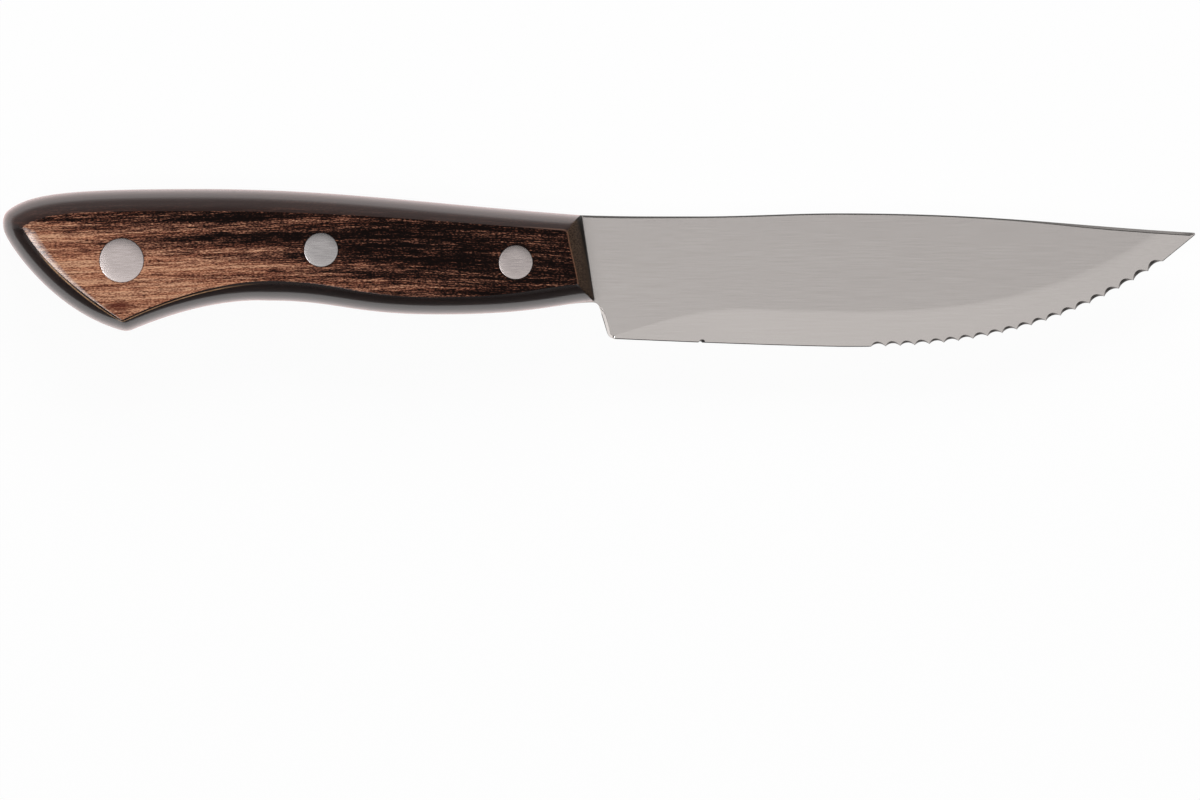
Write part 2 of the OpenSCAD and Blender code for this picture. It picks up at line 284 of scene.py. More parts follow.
# %% Closed meshes
# Points within two thousandths of a millimetre of each other are one point.
MERGE_M = 2e-6


def closed_mesh(name, parts):
    """Joins the parts, in millimetres, into one closed mesh whose faces point outwards."""
    points = np.vstack([p[0] for p in parts])
    start = np.cumsum([0] + [len(p[0]) for p in parts])
    faces = [[i + s for i in f] for p, s in zip(parts, start) for f in p[1]]
    regions = np.concatenate([np.full(len(p[1]), p[2]) for p in parts])
    mesh = bpy.data.meshes.new(name)
    mesh.from_pydata(points * MM + [BUTT_X, CREST_Y, 0], [], faces)
    mesh.attributes.new("region", "INT", "FACE").data.foreach_set("value", regions)
    work = bmesh.new()
    work.from_mesh(mesh)
    bmesh.ops.remove_doubles(work, verts=work.verts, dist=MERGE_M)
    bmesh.ops.recalc_face_normals(work, faces=work.faces)
    open_edges = sum(not e.is_manifold for e in work.edges)
    volume = work.calc_volume() / MM**3
    work.to_mesh(mesh)
    work.free()
    mark_creases(mesh)
    piece = bpy.data.objects.new(name, mesh)
    bpy.context.scene.collection.objects.link(piece)
    print(f"{name}: {len(mesh.polygons)} faces, {open_edges} open edges, {volume:.0f} mm3")
    return piece

# %% [markdown]
# ## The rounded border of a scale
# A scale is sawn from laminated hardwood, its edge is rounded over, and the top is sanded
# flat. The border is one surface of two parameters: the place along the outline, and the
# turn of the border from the upright wall at the steel to the flat. A bevel modifier could
# round an edge too, but only by one width, and this border is wider along the back.

# %% Border of a scale
land_h, border_turn, fullness = 0.6, 60, 1.3
BORDER_RINGS = 32
WALL, BORDER, EASE, FLAT, FOOT, BORE = range(6)


def border_rings(turn):
    """Point = foot x (1 - s) + flat x s, where s = ((1 - cos turn) / (1 - cos last turn)) ^
    fullness, at the height that rises with sin turn. That is a quarter of an ellipse, cut
    off early and a little fuller on the outside."""
    last = math.radians(border_turn)
    s = (((1 - np.cos(turn)) / (1 - math.cos(last))) ** fullness)[:, None, None]
    z = half_t + land_h + (scale_t - land_h) * np.sin(turn) / math.sin(last)
    flat = foot_line * (1 - s) + flat_line * s
    return np.dstack([flat, np.broadcast_to(z[:, None], flat.shape[:2])])


print(f"wall {land_h} mm high, border {scale_t - land_h:.1f} mm")

# %% [markdown]
# ## The rubbed rim of the flat
# Sanding never leaves the flat's rim quite sharp. A narrow band beside it leans a little,
# and along the rear end, where the hand rubs it, the band is wide. It catches the white
# line of light that the photograph shows there. The band bends evenly, so it is a
# parabola across.

# %% Rim of the flat
ease_w, worn_w, ease_slope = 0.22, 1.9, 0.26
EASE_RINGS = 13
steps_to = np.cumsum([0] + [knot[4] * FINE for knot in flat_knots])
rear_from, rear_to = steps_to[3], steps_to[4]
# The wear sets in at once at the top of the rear end and fades out before the beak.
worn = np.interp(np.arange(len(flat_line)),
                 [rear_from - 1, rear_from + 4, rear_to - 38, rear_to - 8], [0, 1, 0.55, 0])
ease_mm = ease_w + worn_w * worn


def ease_rings():
    """From the border's end inwards the slope fades evenly to level, so the height is level
    minus slope x width x (1 - u)^2 / 2."""
    along = np.roll(flat_line, -1, axis=0) - np.roll(flat_line, 1, axis=0)
    inward = np.column_stack([-along[:, 1], along[:, 0]])
    inward /= np.linalg.norm(inward, axis=1)[:, None]
    u = np.linspace(0, 1, EASE_RINGS)[:, None]
    drop = ease_slope * ease_mm * (1 - u) ** 2 / 2
    spots = flat_line + (u * ease_mm)[..., None] * inward
    return np.dstack([spots, half_t + scale_t - drop])


print(f"rim {ease_mm.min():.2f} to {ease_mm.max():.2f} mm wide")

# %% [markdown]
# ## Two scales with stepped holes
# The rivets sit in stepped holes: wide for the head, slim for the barrel. Each hole is
# three rings of faces between four circles. The lower scale is the upper one mirrored in
# the middle of the steel, because a maker cuts both from one pattern.

# %% Places of the rivets
# Height of a head, width of a barrel, and the gap round both. Each rivet has its centre
# and the width of its heads.
head_h, barrel_d, rivet_fit = 1.6, 4.6, 0.05
rivets = {
    "rear": (np.array([0.206 * handle_len, -15]), 9.35),
    "middle": (np.array([0.55 * handle_len, -12.8]), 7.2),
    "front": (np.array([0.886 * handle_len, -15.4]), 7.2)}
for place, (centre, head_d) in rivets.items():
    print(f"{place} rivet at {centre.round(1)} mm, heads {head_d} mm wide")


# %% Scales
def scale_parts():
    """One scale above the middle of the steel, as regions that share their borders. The
    end of the border sinks a little to meet the rubbed rim."""
    ease = ease_rings()
    turns = np.radians(np.linspace(0, border_turn, BORDER_RINGS))
    border = border_rings(turns)
    sink = ease[0, :, 2] - border[-1, :, 2]
    border[:, :, 2] += sink[None, :] * ((turns / turns[-1]) ** 4)[:, None]
    foot = np.column_stack([foot_line, np.full(len(foot_line), half_t)])
    parts = [grid(np.stack([foot, border[0]]), WALL, True),
             grid(border, BORDER, True), grid(ease, EASE, True)]
    top, floor, bottom = half_t + scale_t, half_t + scale_t - head_h, half_t
    wide = [(p, d / 2 + rivet_fit) for p, d in rivets.values()]
    slim = [(p, barrel_d / 2 + rivet_fit) for p, d in rivets.values()]
    parts.append(plate(ease[-1, :, :2], wide, top, FLAT))
    parts.append(plate(foot_line, slim, bottom, FOOT))
    for outer, inner in zip([ring(*w) for w in wide], [ring(*s) for s in slim]):
        steps = [(outer, top), (outer, floor), (inner, floor), (inner, bottom)]
        rims = [np.column_stack([line, np.full(HOLE_STEPS, z)]) for line, z in steps]
        parts += [grid(np.stack(rims[i:i + 2]), BORE + i, True) for i in range(3)]
    return parts


def placed(parts, flip=1):
    """Moves parts from the middle of the steel to their height over the table."""
    return [(p * [1, 1, flip] + [0, 0, MID_Z], f, r) for p, f, r in parts]


upper_scale = closed_mesh("upper_wooden_scale", placed(scale_parts()))
lower_scale = closed_mesh("lower_wooden_scale", placed(scale_parts(), -1))

# %% [markdown]
# ## The outline of the blade
# The steel blank follows the foot of the scales round the handle, then steps down at the
# neck to the heel. From there the edge sweeps out to its deepest point and up to the tip.
# The back is nearly straight. The edge and the back are kept as functions of the distance
# from the butt, because the blade's sections are taken square to its length.

# %% Edge of the blade
blade_len = overall_len - handle_len
blade_depth, heel_rise, belly_rise = 27.6, 1.65, 17.9
deepest_share, belly_share, heel_power, belly_power = 0.429, 0.947, 1.3, 2.6
neck_gap, neck_round, heel_round, neck_lean, tip_round = 0.65, 1.2, 1.3, 17, 0.8
tip_drop, spine_angle = 3.7, 3.2
edge_depth = front_drop + blade_depth
deepest_x = handle_len + deepest_share * blade_len
belly_x = handle_len + belly_share * blade_len
belly_y = belly_rise - edge_depth
neck_x = handle_len + front_lean + neck_gap
neck_drop = edge_depth - heel_rise - neck_depth - tang_show
lean = math.tan(math.radians(neck_lean))
heel_x = neck_x + neck_drop * lean + heel_round
tip_corner = np.array([overall_len + 0.66 * tip_round, -front_drop - tip_drop])
tip_slope = (tip_corner[1] - belly_y) / (tip_corner[0] - belly_x)


def edge_y(x):
    """Depth of the cutting edge: a power curve either way from its deepest point, and a
    straight line in front of the last tooth."""
    behind = heel_rise * (np.maximum(deepest_x - x, 0) / (deepest_x - heel_x)) ** heel_power
    ahead = belly_rise * (np.maximum(x - deepest_x, 0) / (belly_x - deepest_x)) ** belly_power
    line = belly_y + (x - belly_x) * tip_slope
    return np.where(x > belly_x, line, behind + ahead - edge_depth)


heel_y = float(edge_y(np.array(heel_x)))
print(f"heel at {heel_x:.1f} mm, deepest at {deepest_x:.1f} mm")

# %% Back and tip of the blade
tip_angle = math.degrees(math.atan(tip_slope))
tip_low = tip_corner - tip_round * heading(tip_angle)
tip_top = tip_corner - tip_round * heading(-spine_angle)
tip_knots = [
    (tip_low, tip_angle, 0, 0.48, 8),
    (tip_top, 180 - spine_angle, 0.48, 0.37, 16),
    ((handle_len + 0.42 * blade_len, 0.4 - front_drop), 180, 0.44, gentle_share, 8),
    ((handle_len + 0.19 * blade_len, -0.25 - front_drop), 180, gentle_share, gentle_share, 6),
    (front_top, 178, gentle_share, 0, 0)]
tip_curve = np.vstack([chain(tip_knots, 24), front_top])
nose = int(np.argmax(tip_curve[:, 0]))
tip_x = tip_curve[nose, 0]


def back_y(x):
    """Depth of the back, read off the chain of curves from the tip to the handle."""
    return np.interp(x, tip_curve[nose:, 0][::-1], tip_curve[nose:, 1][::-1])


def low_y(x):
    """Depth of the lowest steel: the edge, or the round under the tip past its start."""
    under = np.interp(x, tip_curve[:nose + 1, 0], tip_curve[:nose + 1, 1])
    return np.where(x > tip_low[0], under, edge_y(x))


print(f"tip at {tip_x:.2f} mm")

# %% [markdown]
# ## Scallops ground from one side
# The teeth are made with a shaped wheel that grinds only the upper face, so each scallop
# is a piece of a cone: wide at the upper face and narrow at the lower one. Seen from above
# the cone's wall is the dark crescent under each gap. The steel ends where the cone or the
# plain edge stops it, so the lowest steel at any height is the higher of the two. Cutting
# the cones out with a Boolean modifier would leave ragged faces beside such fine teeth.

# %% Places of the teeth and the nick
scallop_depth, flare, skew, edge_t = 0.62, 1.04, 0.4, 0.3
half_edge = edge_t / 2
tooth_pitch, teeth_share = 3.06, 0.4716
teeth_x = handle_len + teeth_share * blade_len
tooth_count = round((belly_x - teeth_x) / tooth_pitch)
tooth_xs = teeth_x + tooth_pitch * np.arange(tooth_count + 1)
tooth_tips = np.column_stack([tooth_xs, edge_y(tooth_xs)])
chord_line = tooth_tips[1:] - tooth_tips[:-1]
chord = np.linalg.norm(chord_line, axis=1)
outward = np.column_stack([chord_line[:, 1], -chord_line[:, 0]]) / chord[:, None]
between = (tooth_tips[1:] + tooth_tips[:-1]) / 2
# A small round nick behind the teeth, sunk by a share of its radius below the edge.
nick_r, nick_share, nick_sink, nick_lean, nick_flare = 0.4, 0.193, 0.4, 0.9, 0.9
nick_x = handle_len + nick_share * blade_len
nick_y = float(edge_y(np.array(nick_x))) - nick_sink * nick_r
print(f"{tooth_count} scallops, {tooth_pitch} mm apart, and a nick at {nick_x:.1f} mm")

# %% Edge at any height
FAR_BELOW = -99


def circle_top(x, centre_x, centre_y, radius):
    """Top of a circle over x, and far below the blade outside of it."""
    rise = radius**2 - (x - centre_x) ** 2
    return np.where(rise > 0, centre_y + np.sqrt(np.maximum(rise, 0)), FAR_BELOW)


def steel_low_y(x, z):
    """Lowest steel at x and at height z over the middle plane. A scallop's arc passes
    through both tooth tips, and its depth s grows with the height. Its radius is
    (chord^2 / 4 + s^2) / 2s, and its centre lies s short of that radius from the chord.
    The wheel leans, so an arc's top moves to the handle with the height, most at its
    middle and its rear, while the nick moves to the tip and widens."""
    rise = np.maximum(z + half_edge, 0)
    depth = scallop_depth + flare * rise[:, None]
    radius = (chord**2 / 4 + depth**2) / (2 * depth)
    at = between[None] + (radius - depth)[..., None] * outward[None]
    u = np.clip((x[:, None] - between[:, 0]) / (chord_line[:, 0] / 2), -1, 1)
    shift = skew * rise[:, None] * (0.8 * (1 - u**2) + 0.3 * (1 - u))
    arcs = circle_top(x[:, None] + shift, at[..., 0], at[..., 1], radius).max(axis=1)
    nick = circle_top(x - nick_lean * rise, nick_x, nick_y, nick_r + nick_flare * rise)
    return np.maximum(low_y(x), np.maximum(arcs, nick))


print(f"gaps {scallop_depth:.2f} mm deep below, {scallop_depth + flare * edge_t:.2f} mm above")

# %% [markdown]
# ## The bevel and the honed band
# The bevel is one long flat grind on each side, always at the same slope. It runs in from
# the heel, where it takes off almost nothing, keeps its height along the straight part
# and fades a little to the tip. A hone then leaves a narrow steep band right at the edge,
# the dark line that outlines a real knife.

# %% Thickness of the blade
grind_h, grind_run, grind_start, grind_loss = 7.2, 29, 0.8, 0.2
hone_w, hone_drop, least_half = 0.17, 0.09, 0.03


def to_tip(x):
    """Rises evenly from 0 at the deepest point of the edge to 1 at the tip."""
    return np.clip((x - deepest_x) / (overall_len - deepest_x), 0, 1)


def grind_height(x):
    """Height of the grind line over the edge: it swells in from the heel as a sine and
    loses a fifth towards the tip as a square."""
    run_in = np.clip((x - heel_x) / grind_run, 0, 1)
    return grind_start + (grind_h - grind_start) * np.sin(np.pi / 2 * run_in) * (
        1 - grind_loss * to_tip(x) ** 2)


def half_thickness(x, y):
    """Half the steel at a place: it falls evenly down the bevel, and steeply over the last
    of the honed band."""
    slope = (half_t - half_edge) / grind_h
    over_edge = np.maximum(y - edge_y(x), 0)
    bevel = half_t - slope * np.maximum(grind_height(x) - over_edge, 0)
    honed = np.maximum(1 - over_edge / hone_w, 0) * hone_drop
    return np.maximum(bevel - honed, least_half)


print(f"grind line {grind_height(deepest_x):.1f} mm over the edge at its deepest point")

# %% [markdown]
# ## The facet on the back and the soft grind line
# A belt breaks the sharp corners of the back with a narrow facet on each side. It is a
# little wider beside the handle, and widest near the tip, where it shows as a dark stripe.
# The belt that polishes the faces also runs over the grind line and softens it. An extra
# row of points on each side of that line holds the soft bend together.

# %% Facet and grind line
# Rows across the facet, how far out each one lies, and how much of its height is left.
facet_rows, facet_out, facet_left = [0, 0.25, 1], [0, 0.2, 1], [1, 0.93, 0]
facet_w, facet_w_handle, facet_w_tip = 0.3, 0.14, 0.4
facet_fall, facet_fall_tip = 0.4, 0.26
blend_w = 0.45


def near_tip(x):
    """Rises as an S from 0 to 1 along the last of the back, half way 100 mm in front of
    the handle."""
    return 1 / (1 + np.exp(-(x - handle_len - 100) / 4.0))


def facet_width(x):
    """Width of the facet: a bell curve more beside the handle, and more near the tip."""
    near_handle = np.exp(-((x - handle_len - 6) / 14.0) ** 2)
    return facet_w + facet_w_handle * near_handle + facet_w_tip * near_tip(x)


def facet_slope(x):
    """Fall of the facet for each millimetre out. It leans more near the tip."""
    return facet_fall + facet_fall_tip * near_tip(x)


def tip_fade(x):
    """The facet narrows to nothing over the last 1.2 mm of the tip, as a square root."""
    return np.clip((tip_x - x) / 1.2, 0, 1) ** 0.5


def blend_width(x):
    """Half the width over which the grind line is softened: next to nothing at the heel,
    and three times the usual width at the tip."""
    return blend_w * np.clip(0.05 + (x - heel_x) / 20, 0, 1) * (1 + 2 * to_tip(x) ** 2)


print(f"facet {facet_width(handle_len):.2f} mm at the handle, {facet_width(tip_x):.2f} mm at "
      f"the tip")

# %% [markdown]
# ## Sections of the blade
# The whole blade in front of the heel is one surface of two parameters: stations along
# its length, and a closed section round the steel at each station. Rows stay on the grind
# line and on the honed band along the whole blade, so these lines come out clean.

# %% One side of a section
BEVEL_ROWS, HONE_ROWS, WALL_ROWS = 9, 4, 4
SIDE_ROWS = BEVEL_ROWS + HONE_ROWS - 1
ROUNDS = 16


def side_rows(x, side):
    """Rows down one side, from the grind line over the bevel and the honed band to where
    the steel ends. That place depends on its own height, so it is found by repeating."""
    top = np.minimum(edge_y(x) + grind_height(x), back_y(x) - facet_width(x) * tip_fade(x))
    top = np.maximum(top, low_y(x))
    low = low_y(x)
    for _ in range(ROUNDS):
        low = np.minimum(0.5 * (low + steel_low_y(x, side * half_thickness(x, low))), top)
    hone = np.clip(edge_y(x) + hone_w, low, top)
    blend = np.minimum(blend_width(x) / np.maximum(top - hone, blend_w), 0.4)
    even = np.linspace(0, 1, BEVEL_ROWS - 1)[:, None]
    share = np.vstack([np.zeros_like(x), blend + even * (1 - blend)])
    last = np.linspace(0, 1, HONE_ROWS)[1:, None]
    y = np.vstack([top * (1 - share) + hone * share, hone * (1 - last) + low * last])
    return y, side * half_thickness(x, y)


print("half thickness down the deepest section:",
      side_rows(np.array([deepest_x]), 1)[1][:, 0].round(2))


# %% The two halves of a section
inner_rows = np.linspace(0, 1, WALL_ROWS + 2)[1:-1, None]
row = np.linspace(0, 1, SIDE_ROWS)[:, None]


def edge_half(x):
    """Down the upper side, round the edge and up the lower side, as depths and heights."""
    top_y, top_z = side_rows(x, 1)
    under_y, under_z = side_rows(x, -1)
    wall_z = top_z[-1] * (1 - inner_rows) + under_z[-1] * inner_rows
    wall_y = np.stack([steel_low_y(x, z) for z in wall_z])
    wall_y = np.minimum(wall_y, np.minimum(top_y[0], under_y[0]))
    return (np.vstack([top_y, wall_y, under_y[::-1]]),
            np.vstack([top_z, wall_z, under_z[::-1]]))


def back_half(x, grind_line):
    """Out over the upper facet, down the back and in over the lower facet."""
    back = np.maximum(back_y(x), low_y(x))
    inner = np.maximum(back - facet_width(x) * tip_fade(x), grind_line)
    inner_z = half_thickness(x, inner)
    stand = np.maximum(inner_z - facet_slope(x) * (back - inner), least_half)
    facet_y = inner + (back - inner) * np.interp(row, facet_rows, facet_out)
    facet_z = stand + (inner_z - stand) * np.interp(row, facet_rows, facet_left)
    flat_z = stand * (1 - 2 * inner_rows)
    flat_y = np.broadcast_to(back, flat_z.shape)
    return (np.vstack([facet_y, flat_y, facet_y[::-1]]),
            np.vstack([facet_z, flat_z, -facet_z[::-1]]))


print(f"each half has {2 * SIDE_ROWS + WALL_ROWS} rows")

# %% [markdown]
# ## Stations along the blade
# Stations stand closer where the outline bends more: towards each tooth tip, by a cosine,
# round the nick, and in the round of the tip. Elsewhere a millimetre or so is enough.

# %% Surfaces of the blade
TOOTH_STEPS, NICK_STEPS, PLAIN_STEPS, MEET_STEPS, TIP_STEPS = 22, 41, 90, 40, 24
nick_reach, tip_run = 1.1, 1.2
along_teeth = (tooth_xs[:-1, None] + tooth_pitch * (
    0.5 - 0.5 * np.cos(np.pi * np.arange(TOOTH_STEPS) / TOOTH_STEPS))).ravel()
tip_arc = tip_x - tip_run * (1 - np.sin(np.linspace(0, np.pi / 2, TIP_STEPS)))
stations = np.unique(np.round(np.concatenate([
    np.linspace(heel_x, teeth_x, PLAIN_STEPS), along_teeth,
    nick_x + np.linspace(-nick_reach, nick_reach, NICK_STEPS),
    np.linspace(belly_x, tip_arc[0], MEET_STEPS), tip_arc]), 6))


def rows_to_points(side):
    """Depths and heights of rows become points at their stations."""
    y, z = side
    return np.dstack([np.broadcast_to(stations, y.shape), y, z])


edge_side = edge_half(stations)
edge_grid = rows_to_points(edge_side)
back_grid = rows_to_points(back_half(stations, edge_side[0][0]))
FACE_UP, HONE_UP, EDGE, HONE_LOW, FACE_LOW, BACK, TANG_RIM, RIVET_HOLE = range(8)
bands = np.cumsum([0, BEVEL_ROWS - 1, HONE_ROWS - 1, WALL_ROWS + 1, HONE_ROWS - 1,
                   BEVEL_ROWS - 1])
blade_parts = [grid(edge_grid[a:b + 1], region) for a, b, region in zip(
    bands, bands[1:], [FACE_UP, HONE_UP, EDGE, HONE_LOW, FACE_LOW])]
blade_parts.append(grid(back_grid, BACK))
print(f"{len(stations)} stations x {2 * len(edge_grid)} points round the blade")

# %% Flat faces between the back and the grind line
for start, end, region in ((back_grid[0], edge_grid[0], FACE_UP),
                           (back_grid[-1], edge_grid[-1], FACE_LOW)):
    near = start.copy()
    near[:, 1] = np.minimum(end[:, 1] + blend_width(stations), start[:, 1])
    near[:, 2] = half_thickness(stations, near[:, 1]) * np.sign(start[:, 2])
    blade_parts.append(grid(np.stack([start, near, end]), region))
print(f"{len(blade_parts)} surfaces in front of the heel")

# %% [markdown]
# ## The rim of the tang
# Behind the heel the blank is a plain plate whose outline turns every way, so stations
# along its length don't suit it. Its rim is a profile carried along the outline instead.

# %% Line of the rim
neck_at = np.array([neck_x, -neck_depth - tang_show])
neck_knots = [
    (neck_at - [neck_round, 0], 360, 0.2, 0.45, 6),
    (neck_at + neck_round * np.array([lean, -1]), 270 + neck_lean, 0.45, 0.2, 8),
    (np.array([heel_x - heel_round, heel_y]) + heel_round * np.array([-lean, 1]),
     270 + neck_lean, 0.2, round_share, 6),
    (np.array([heel_x, heel_y]), 356, round_share, 0, 0)]
neck_and_heel = chain(neck_knots, 6)
tang_line = np.vstack([chain([(front_top, back_angle, 0.3, 0.43, 14)] + rear_knots
                             + [neck_knots[0]], FINE), neck_and_heel, neck_knots[-1][0]])
spine_xs = np.linspace(heel_x, handle_len, 24)[:-1]
rim_line = np.vstack([np.column_stack([spine_xs, back_y(spine_xs)]), tang_line])
step = np.gradient(rim_line, axis=0)
# Along the spine and at the heel the profile stands square to the knife's length, as the
# blade's sections do, so that both meet without a gap.
step[:len(spine_xs)] = (-1, 0)
step[-1] = (1, 0)
step /= np.linalg.norm(step, axis=1)[:, None]
inward = np.column_stack([-step[:, 1], step[:, 0]])
count = len(rim_line)
print(f"{count} points round the tang")

# %% [markdown]
# ## Four profiles mixed along the rim
# Each point of the rim mixes four profiles. The spine carries on the blade's facet. The
# tang is hardly eased, because it is ground flush with the wood. The neck has a wide
# rounded chamfer, where the maker takes off the corner that a finger touches, and it is
# the white band in the photograph. At the heel the profile is the blade's own section.

# %% Where each profile rules
order = np.arange(count)
on_spine = order < len(spine_xs)
neck_from = count - 1 - len(neck_and_heel)


def soft_step(start, steps):
    """Rises smoothly from 0 to 1 over some steps of the rim, as 3t^2 - 2t^3."""
    t = np.clip((order - start) / steps, 0, 1)
    return t**2 * (3 - 2 * t)


# Steps of the rim before the neck's profile sets in, and over which each one eases in.
neck_wait, neck_ease, heel_ease = 22, 34, 18
neck_share = soft_step(neck_from + neck_wait, neck_ease)
heel_share = soft_step(count - 1 - heel_ease, heel_ease)


def mixed(spine, tang, neck, heel):
    """Value along the rim: the spine's, or the tang's eased into the neck's and heel's."""
    value = tang * (1 - neck_share) + neck * neck_share
    value = value * (1 - heel_share) + heel * heel_share
    return np.where(on_spine, spine, value)


print(f"{(neck_share > 0.5).sum()} of {count} points are neck and heel")

# %% Profile at each point of the rim
tang_w, neck_half, neck_wide, neck_narrowing = 0.06, 0.05, 0.82, 0.45
# The chamfer narrows over 40 steps on its way down to the heel.
neck_w = neck_wide * (1 - neck_narrowing * soft_step(count - 60, 40))
# Rows across the neck's chamfer, with how far out they lie and how much height is left.
neck_rows, neck_out, neck_left = [0, 0.15, 0.7, 1], [0, 0.04, 0.86, 1], [1, 0.98, 0.07, 0]
heel_y_rows, heel_z_rows = side_rows(np.array([heel_x]), 1)
heel_out = (heel_y_rows[0] - heel_y_rows) / (heel_y_rows[0] - heel_y_rows[-1])
heel_left = (heel_z_rows - heel_z_rows[-1]) / (half_t - heel_z_rows[-1])

spine_w = facet_width(np.where(on_spine, rim_line[:, 0], handle_len))
spine_half = half_t - facet_slope(rim_line[:, 0]) * spine_w
width = mixed(spine_w, tang_w, neck_w, grind_start)
wall_half = mixed(spine_half, half_t - tang_w, neck_half, heel_z_rows[-1, 0])
out = mixed(np.interp(row, facet_rows, facet_out), np.sin(np.pi / 2 * row),
            np.interp(row, neck_rows, neck_out), heel_out)
left = mixed(np.interp(row, facet_rows, facet_left), np.cos(np.pi / 2 * row),
             np.interp(row, neck_rows, neck_left), heel_left)
spots = rim_line[None] + inward[None] * (width * (1 - out))[..., None]
heights = wall_half + (half_t - wall_half) * left
middle = np.broadcast_to(rim_line, (WALL_ROWS,) + rim_line.shape)
rim = np.concatenate([
    np.dstack([spots, heights]),
    np.dstack([middle, wall_half * (1 - 2 * inner_rows)]),
    np.dstack([spots, -heights])[::-1]])
print(f"neck chamfer {neck_w.max():.2f} mm wide")

# %% [markdown]
# ## The blank closed
# The two flat faces of the tang are filled inside the rim, round three holes for the
# rivets' barrels. One extra point at the heel meets the soft grind line of the blade.

# %% The whole blank
holes = [(p, barrel_d / 2 + rivet_fit) for p, d in rivets.values()]
grind_end = spots[0, -1] + [0, float(blend_width(np.array(heel_x)))]
face_line = np.vstack([spots[0], grind_end])
blade_parts += [grid(rim, TANG_RIM), plate(face_line, holes, half_t, FACE_UP),
                plate(face_line, holes, -half_t, FACE_LOW)]
for hole in holes:
    rims = [np.column_stack([ring(*hole), np.full(HOLE_STEPS, z)]) for z in (half_t, -half_t)]
    blade_parts.append(grid(np.stack(rims), RIVET_HOLE, True))
knife_blade = closed_mesh("steel_blade", placed(blade_parts))

# %% [markdown]
# ## The rivets
# Each rivet is two turned parts: a head with a hollow barrel from below, and a head with a
# shank from above. The heads are ground flush with the wood, so they are flat with a fine
# eased rim. A turned part is a profile carried round an axis, which the Screw modifier
# does too. Here it is one formula, and the circles match those of the holes exactly.

# %% Turned parts
shank_d, shank_fit, barrel_floor, end_gap, head_ease = 2.8, 0.02, 1.0, 0.2, 0.15


def turned(name, centre, profile):
    """Profile of (radius, height) pairs carried round an upright axis. A point is the
    centre plus radius x (cos, sin) of the turn."""
    radius, height = np.array(profile).T
    flat = np.asarray(centre) + radius[:, None, None] * ring((0, 0), 1)[None]
    points = np.dstack([flat, np.broadcast_to(height[:, None], flat.shape[:2])])
    return closed_mesh(name, [grid(points, 0, True)])


def head_profile(radius):
    """From the middle of a head's outer face over its eased rim, a quarter circle, as
    (radius, height in from the face)."""
    rim = [(radius - head_ease + head_ease * math.sin(t), head_ease - head_ease * math.cos(t))
           for t in np.linspace(0, np.pi / 2, 6)]
    return [(0, 0), (radius * 0.5, 0)] + rim


print(f"rims of the heads eased by {head_ease} mm")

# %% Six halves of rivets
socket_len = total_t - head_h - end_gap
shank_end = total_t - head_h - barrel_floor - end_gap
bore_r = shank_d / 2 + shank_fit
rivet_pieces = {}
for place, (centre, head_d) in rivets.items():
    head = head_profile(head_d / 2) + [(head_d / 2, head_h)]
    socket = head + [(barrel_d / 2, head_h), (barrel_d / 2, socket_len), (bore_r, socket_len),
                     (bore_r, head_h + barrel_floor), (0, head_h + barrel_floor)]
    pin = head + [(shank_d / 2, head_h), (shank_d / 2, shank_end), (0, shank_end)]
    rivet_pieces[f"{place}_rivet_socket"] = turned(f"{place}_barrel_rivet", centre, socket)
    rivet_pieces[f"{place}_rivet_pin"] = turned(
        f"{place}_shank_rivet", centre, [(r, total_t - h) for r, h in pin])

# %% [markdown]
# ## Colours and nodes
# A material is a small net of nodes. Colours are written the way a colour picker shows
# them, in sRGB, and one function turns them linear. One more small function adds any kind
# of node, so that a net reads like a formula: what comes first in it is worked out first.


# %% Colours
def colour(code):
    """sRGB hex code to linear red, green, blue and alpha."""
    parts = np.array([int(code[i:i + 2], 16) for i in (1, 3, 5)]) / 255
    linear = np.where(parts <= 0.04045, parts / 12.92, ((parts + 0.055) / 1.055) ** 2.4)
    return (*linear.tolist(), 1)


def grey(level):
    """Linear grey."""
    return (level, level, level, 1)


print("middle grey #808080 is", round(colour("#808080")[0], 3), "in linear light")


# %% Nodes
def add(tree, kind, *values, inputs=None, stops=(), **settings):
    """Adds a node and sets its settings first, because they open and close its inputs.
    Values fill the open inputs in order, and inputs fill them by name. A node or an output
    of one is linked. Stops are the places and colours of a colour ramp, its two ends
    first."""
    made = tree.nodes.new("ShaderNode" + kind)
    for key, value in settings.items():
        setattr(made, key, value)
    filled = list(zip([socket for socket in made.inputs if socket.enabled], values))
    filled += [(made.inputs[key], value) for key, value in (inputs or {}).items()]
    for socket, value in filled:
        if isinstance(value, bpy.types.Node):
            value = next(output for output in value.outputs if output.enabled)
        if isinstance(value, bpy.types.NodeSocket):
            tree.links.new(value, socket)
        else:
            socket.default_value = value
    for i, (spot, shade) in enumerate(stops):
        element = made.color_ramp.elements[i] if i < 2 else made.color_ramp.elements.new(spot)
        element.position, element.color = spot, shade
    return made


def new_material(name):
    """Empty material and its net of nodes."""
    material = bpy.data.materials.new(name)
    material.use_nodes = True
    material.node_tree.nodes.clear()
    return material, material.node_tree


print("node helpers for", bpy.app.version_string)

# %% [markdown]
# ## Patterns for grain and brushing
# Wood grain and belt scratches are both noise drawn out along the knife. Masks say where a
# streak or a stain lies. They are products of soft steps, because a hard step would show
# as a cut in the wood. An image texture could do the same, but it would have to be made
# first, and these patterns stay sharp from any distance.


# %% Grain, masks and swings
def grain(tree, place, width, length, detail, seed):
    """Noise with streaks of a width and a length in millimetres, along X. The seed moves
    it, so that no two patterns run together."""
    scale = (1 / (length * MM), 1 / (width * MM), 1 / (width * MM))
    spot = add(tree, "Mapping", inputs={
        "Vector": place, "Scale": scale, "Location": (seed, seed * 0.7, seed * 0.3)})
    return add(tree, "TexNoise", inputs={
        "Vector": spot, "Scale": 1.0, "Detail": detail, "Roughness": 0.6})


